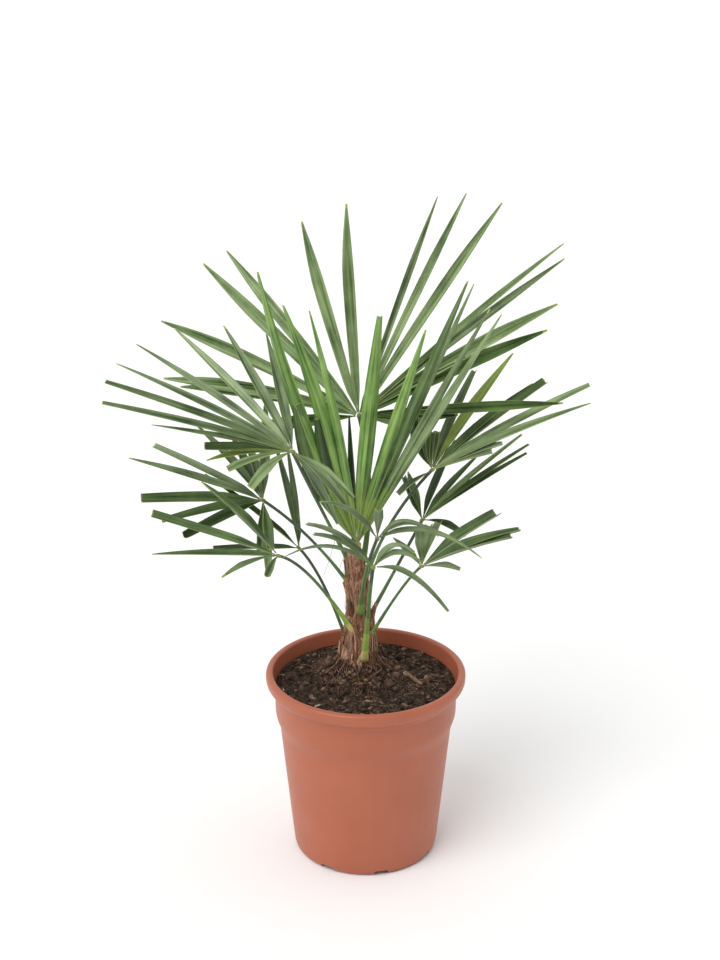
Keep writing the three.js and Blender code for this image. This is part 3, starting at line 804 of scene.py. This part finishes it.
for frond in fronds:
    name, foot, hub = frond["name"], Vector(frond["foot"]) * mm, Vector(frond["hub"]) * mm
    share = (foot - trunk_foot).z / mm / trunk_height
    inward = bend_point(trunk_way, share) - foot
    sunk = foot + Vector((inward.x * foot_sink, inward.y * foot_sink, -foot_drop))
    way = [low_feet.get(name, sunk), (foot + hub) / 2 + Vector(frond["bow"]) * 2 * mm, hub]
    turn = math.atan2(-inward.y, -inward.x)
    for _ in range(sheath_strand_count if inward.xy.length > sheath_from else 0):
        spread, drop = luck.uniform(-0.8, 0.8), luck.uniform(0.1, 0.24)
        strand = [
            trunk_spot(share + 0.03, turn + spread * 0.3, stand=2),
            trunk_spot(share - 0.05, turn + spread * 0.8, stand=1.6),
            trunk_spot(share - drop, turn + spread, stand=0),
        ]
        thick, shade = luck.uniform(0.3, 0.6), pick(3, 2, 4, 2)
        add_thread(sheaths, strand, thick, 0, shade, flatness=0.6)
    thick, thin = frond["stalk"]
    shades = stalk_shades.get(name, plain_shades)
    mesh = bmesh.new()
    add_rod(
        mesh, stalk_blank, way,
        lambda along: mix(thick, thin, min(1, along * taper_rate) ** taper_curve), stalk_flatness,
        lambda middle: sum(middle.z >= edge for edge in shades),
    )
    stalk = finish_mesh("leaf_stalk_" + name, mesh, stalk_skins)
    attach(stalk, "root")
    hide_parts("stalk_" + name)
sheath = finish_mesh("stalk_sheaths", sheaths, fibres)
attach(sheath, "root")


# A fan is a single blade pleated like paper. Its pleats part a few centimetres out into stiff
# leaflets, each folded in a V along a rib. Many tips were cut blunt and have dried at the cut.
def make_leaf(name, code, deeper, roughness=0.4):
    """Palm leaf: a waxy cuticle over fine parallel veins, with a faint bloom."""
    vein, streak, patch = 1.1 * mm, 2.8 * mm, 28 * mm
    material, shader = start_material(
        name, Roughness=roughness, IOR=1.45, Specular_IOR_Level=0.5, Sheen_Weight=0.05
    )
    texture = add_node(material, "ShaderNodeTexCoord")
    patches = add_node(
        material, "ShaderNodeTexNoise",
        inputs={"Vector": texture.outputs["Object"], "Scale": 1 / patch, "Detail": 5},
    )
    drawn = add_node(
        material, "ShaderNodeMapping", inputs={"Vector": texture.outputs["UV"], "Scale": (1, 0.04, 1)}
    )
    streaks = add_node(
        material, "ShaderNodeTexNoise",
        inputs={"Vector": drawn.outputs["Vector"], "Scale": 1 / streak, "Detail": 4},
    )
    blend = add_node(
        material, "ShaderNodeMath", {"operation": "MULTIPLY_ADD"},
        {0: streaks.outputs["Fac"], 1: 2, 2: patches.outputs["Fac"]},
    )
    share = add_node(
        material, "ShaderNodeMapRange",
        inputs={"Value": blend.outputs["Value"], "From Min": 1.12, "From Max": 1.85},
    )
    tint = add_node(
        material, "ShaderNodeMix", {"data_type": "RGBA"},
        {"Factor": share.outputs["Result"], 6: linear(deeper), 7: linear(code)},
    )
    veins = add_node(
        material, "ShaderNodeTexNoise",
        inputs={"Vector": drawn.outputs["Vector"], "Scale": 1 / vein, "Detail": 1},
    )
    return finish_material(
        material, shader, tint.outputs[2], veins.outputs["Fac"], strength=0.35, depth=0.25 * mm
    )


greens = {
    "mid": make_leaf("palm_leaf_mid", "#A2B782", "#4E6839"),
    "deep": make_leaf("palm_leaf_deep", "#688248", "#273E1A"),
    "dark": make_leaf("palm_leaf_dark", "#455D2A", "#1D2F12"),
    "grey": make_leaf("palm_leaf_grey", "#84986A", "#344B22", 0.44),
    "lime": make_leaf("palm_leaf_lime", "#98AC4C", "#5E782C"),
    "young": make_leaf("palm_leaf_young", "#92B65E", "#3A641F"),
    "fresh": make_leaf("palm_leaf_fresh", "#94B054", "#4A6D24"),
    "tip": make_leaf("palm_leaf_tip", "#B9B955", "#98994A"),
    "dry": make_leaf("palm_leaf_dry", "#B39A6A", "#7A6040", 0.7),
    "edge": make_leaf("palm_leaf_edge", "#97A860", "#74884A"),
}
green_names = list(greens)
frond_greens = {
    "top": ["deep"] + ["mid"] * 7 + ["grey", "mid", "mid", "mid", "grey", "mid"] + ["deep"] * 4,
    # The young frond's dark and deep leaflets are painted shade: they stand for the shaded inner faces of
    # its folds.
    "young": ["deep", "young", "dark", "young", "young", "young", "young", "deep", "mid", "grey", "mid"],
    "left_high": ["grey", "grey", "mid"] + ["grey"] * 5 + ["dark", "lime", "mid", "mid"],
    "left_middle": ["grey", "grey", "dark", "deep", "grey", "grey", "deep", "deep", "dark", "deep",
                    "mid", "deep"],
    "left_front": ["deep", "deep", "deep", "grey", "grey"], "left_back": ["deep", "deep", "dark"],
    "right_high": ["dark"] * 3 + ["deep", "lime", "deep", "deep", "mid", "mid"] + ["grey"] * 6 + ["dark"],
    "right_back": ["dark", "deep", "dark", "deep", "mid", "deep", "deep", "dark"],
    "right_front": ["deep", "grey", "grey", "grey", "deep", "deep", "deep", "deep"],
    "front_upper": ["grey"], "front_lower": ["grey"],
}
root_distance, hub_size = 3.6, (2.6, 3.5, 1.6)
fold_range, hub_fold, fold_easing, fold_curve = (32, 48), math.radians(52), 45, 1.15
least_room, most_room, room_overlap = math.radians(3.6), math.radians(8), 1.15
leaf_thickness, leaflet_slimness, most_twist = 0.5, 6.5, 9
root_width, widest_place, tip_curve = 0.5, 0.45, 1.5
blunt_width, blunt_tail, pointed_tail, torn_depth, split_depth = 0.25, 3, 7, 2.4, 0.8
yellow_length, lime_length, fresh_length, dry_length, tip_lengths = 10, 36, 62, 1.6, (2.5, 6)
leaflet_columns, leaflet_rows, tail_rows, row_crowding = 6, 18, 4, 1.4

# One leaflet is cut out flat, a lattice as long as 1 and as wide as 2, and every other one is
# this one folded and bent to its place. Its last rows are kept for the tip.
bpy.ops.mesh.primitive_grid_add(x_subdivisions=leaflet_columns, y_subdivisions=leaflet_rows, size=2)
bpy.ops.object.mode_set(mode="EDIT")
bpy.ops.mesh.select_all(action="SELECT")
bpy.ops.transform.translate(value=(0, 1, 0))
bpy.ops.transform.resize(value=(1, 0.5, 1), center_override=(0, 0, 0))
bpy.ops.object.mode_set(mode="OBJECT")
leaflet_blank = take_blank(bpy.context.object, lambda point: (point.x * 0.3 + 0.4, point.y))
bpy.ops.mesh.primitive_ico_sphere_add(subdivisions=2, radius=1)
hub_blank = take_blank(bpy.context.object)


def fan_axes(hub, aim):
    """The fan's own axes: X across it, Y along its middle and Z out of its upper face."""
    azimuth, elevation, roll = (math.radians(a) for a in aim)
    middle = Vector((
        math.cos(azimuth) * math.cos(elevation), math.sin(azimuth) * math.cos(elevation),
        math.sin(elevation),
    ))
    side = middle.cross(Vector((0, 0, 1))).normalized()
    side.rotate(Matrix.Rotation(-roll, 3, middle))
    axes = Matrix((side, middle, side.cross(middle))).transposed().to_4x4()
    axes.translation = Vector(hub) * mm
    return axes


def blade_share(share, tip, widest=widest_place):
    """Half the width of a leaflet along its length, as a share of the widest."""
    if share < widest:
        return mix(root_width, 1, math.sin(math.pi / 2 * share / widest))
    return mix(1, tip, ((share - widest) / (1 - widest)) ** tip_curve)


def fan_heading(turn, lift):
    """The way that a turn and a lift point in a fan's own space."""
    angle, rise = math.radians(turn), math.radians(lift)
    return Vector((
        math.sin(angle) * math.cos(rise), math.cos(angle) * math.cos(rise), math.sin(rise),
    ))


def leaflet_way(axes, down, leaflet):
    """The curve of a leaflet's rib, whose middle is pulled aside by its bow and end by its sag."""
    turn, length, _, lift, sag, bow = leaflet
    heading, aside = fan_heading(turn, lift), fan_heading(turn + bow, lift)
    way = [
        heading * root_distance, aside * (length / 2) * math.cos(math.radians(bow)),
        heading * length + down * sag * length,
    ]
    return [axes @ (point * mm) for point in way]


def fan_rooms(leaflets, leaflet):
    """The angle that a leaflet has to itself on its left and on its right, in radians."""
    rooms = [most_room, most_room]
    heading = fan_heading(leaflet[0] + leaflet[5], leaflet[3])
    for other in leaflets:
        apart = heading.angle(fan_heading(other[0] + other[5], other[3])) / 2
        if other is not leaflet and apart < most_room:
            right = other[0] > leaflet[0]
            rooms[right] = max(least_room, min(rooms[right], apart))
    return rooms


def add_leaflet(mesh, axes, way, half, widest, leaflet, rooms, shade, young, luck):
    """Folds and bends one leaflet of a fan, its edges meeting its neighbours' where they join."""
    turn, length, tip = leaflet[:3]
    angle = math.radians(turn)
    flat = axes.to_3x3() @ Vector((math.cos(angle), -math.sin(angle), 0))
    blunt = tip > blunt_width
    twist = math.radians(luck.uniform(-most_twist, most_twist))
    leaflet_fold = math.radians(luck.uniform(*fold_range))
    tail = (blunt_tail if blunt else pointed_tail) / length
    teeth = [luck.uniform(0, torn_depth) / length if blunt else 0 for _ in range(leaflet_columns + 1)]
    cut_colour, tip_length = luck.choice(("dry", "edge", "tip")), luck.uniform(*tip_lengths)

    def length_share(point):
        """How far along the leaflet a point of the blank comes, its last rows being the tip."""
        row = point.y * leaflet_rows
        body = leaflet_rows - tail_rows
        if row <= body:
            return (row / body) ** row_crowding * (1 - tail)
        share = 1 - tail * (leaflet_rows - row) / tail_rows
        column = round((point.x + 1) / 2 * leaflet_columns)
        if row > leaflet_rows - 0.5:
            share -= teeth[column] if blunt else split_depth / length * (1 - abs(point.x))
        return share

    def bend(point):
        share = length_share(point)
        centre, ahead = bend_point(way, share), bend_ahead(way, share)
        side = (flat - ahead * flat.dot(ahead)).normalized()
        face = side.cross(ahead)
        turned_by = Matrix.Rotation(twist * share, 3, ahead)
        distance = max(root_distance, share * length)
        room = distance * math.tan(rooms[point.x > 0]) * room_overlap
        reach = min(half * blade_share(share, tip, widest), room)
        fold = mix(hub_fold, leaflet_fold, min(1, distance / fold_easing))
        rise = abs(point.x) ** fold_curve * reach * math.tan(fold)
        return centre + turned_by @ (side * point.x * reach + face * rise) * mm

    def colour(middle):
        left, gone = (1 - length_share(middle)) * length, length_share(middle) * length
        if young and gone < fresh_length:
            pale = "tip" if gone < yellow_length else "lime" if gone < lime_length else "fresh"
            return green_names.index(pale)
        if blunt and left < dry_length:
            return green_names.index(cut_colour)
        if not blunt and left < tip_length:
            return green_names.index("tip")
        return green_names.index(shade)

    chart_size = (half * 3 * mm, length * mm)
    add_copy(mesh, leaflet_blank, bend, colour, chart_size, chart_shift=turn * mm)


rib_skins = [
    make_stalk_skin("leaf_rib_green", "#8A9F62", "#6C8448"),
    make_stalk_skin("leaf_rib_pale", "#A4BC78", "#86A45C"),
    make_stalk_skin("leaf_hub_yellow", "#97954C", "#74783C"),
]
rib_blank = rod_blank(sides=4, steps=10)
rib_reach, rib_tip_radius, hub_skin = 0.93, 0.2, 2
for order, frond in enumerate(fronds):
    fan_luck = random.Random(40 + order)
    name, young = frond["name"], frond["name"] == "young"
    axes = fan_axes(frond["hub"], frond["aim"])
    down = axes.to_3x3().transposed() @ Vector((0, 0, -1))
    plain = (0.12, 0, frond["sag"], 0)
    leaflets = [tuple(leaflet) + plain[len(leaflet) - 2:] for leaflet in frond["leaflets"]]
    shades, widths = frond_greens[name], frond["widths"] + (1,) * len(leaflets)
    mesh, ribs = bmesh.new(), bmesh.new()
    for number, leaflet in enumerate(leaflets):
        shade = shades[number % len(shades)]
        half = min(frond["half"], leaflet[1] / leaflet_slimness) * widths[number]
        widest, rooms = frond.get("widest", widest_place), fan_rooms(leaflets, leaflet)
        way = leaflet_way(axes, down, leaflet)
        add_leaflet(mesh, axes, way, half, widest, leaflet, rooms, shade, young, fan_luck)
        rib_way = [way[0], mix(way[0], way[1], rib_reach), bend_point(way, rib_reach)]
        thick = 0.6 if young else 0.4
        add_rod(
            ribs, rib_blank, rib_way, lambda along: mix(thick, rib_tip_radius, along),
            shade=lambda middle: int(shade in ("young", "lime")),
        )
    fan = finish_mesh("leaflets_" + name, mesh, list(greens.values()))
    bpy.ops.object.select_all(action="DESELECT")
    bpy.context.view_layer.objects.active = fan
    body = fan.modifiers.new("body", "SOLIDIFY")
    body.thickness, body.offset = leaf_thickness * mm, 0
    body.material_offset_rim = len(greens)
    bpy.ops.object.modifier_apply(modifier="body")
    smooth(fan, degrees=35)
    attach(fan, "root")
    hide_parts("fan_" + name)
    knob = axes @ Matrix.Diagonal(hub_size + (1,)) @ Matrix.Diagonal((mm, mm, mm, 1))
    add_copy(ribs, hub_blank, lambda point: knob @ point, lambda middle: hub_skin)
    rib = finish_mesh("ribs_" + name, ribs, rib_skins)
    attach(rib, "root")


# The spear is the next leaf. It is still closed, all its pleats pressed together into a slim,
# stiff point of dark green that rises from the middle of the crown.
spear_foot, spear_tip = Vector((-12, 25.5, 330.35)) * mm, Vector((-17, 22, 478)) * mm
spear_radius, spear_tip_width, spear_depth = 2.6, 0.2, 1.7
mesh = bmesh.new()
add_rod(
    mesh, rod_blank(sides=14, steps=24), [spear_foot, (spear_foot + spear_tip) / 2, spear_tip],
    lambda along: spear_radius * blade_share(along, spear_tip_width), spear_depth,
)
spear = finish_mesh("spear_leaf", mesh, [greens["dark"]])
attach(spear, "root")
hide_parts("spear")


# Setting: a plain pale floor that runs out of sight, and soft studio light, mostly from the left.
# The room is white but for the camera's side, which is dimmer.
bpy.ops.mesh.primitive_plane_add(size=200, location=(0, 0, -0.5 * mm))
floor = bpy.context.object
floor.name = "floor"
paper, paper_shader = start_material("pale_paper", Roughness=0.9)
paper_shader.inputs["Base Color"].default_value = linear("#F8F8F7")
floor.data.materials.append(paper)
bpy.context.scene.view_settings.view_transform = "Standard"
world = bpy.data.worlds.new("studio")
bpy.context.scene.world = world
world.use_nodes = True
way_out = add_node(world, "ShaderNodeTexCoord").outputs["Generated"]
parts = add_node(world, "ShaderNodeSeparateXYZ", inputs={"Vector": way_out})
dimming = add_node(
    world, "ShaderNodeMapRange",
    inputs={"Value": parts.outputs["Y"], "From Min": -0.85, "From Max": -0.1, "To Min": 0.3, "To Max": 0.88},
)
link(world, dimming.outputs["Result"], world.node_tree.nodes["Background"].inputs["Strength"])
world.node_tree.nodes["Background"].inputs["Color"].default_value = linear("#FFFFFF")
bpy.ops.object.light_add(type="SUN")
key = bpy.context.object
key.name = "key"
key.data.energy, key.data.angle = 1.75, math.radians(42)
light_way = Vector((0.55, 0.65, -1))
key.rotation_euler = light_way.to_track_quat("-Z", "Y").to_euler()
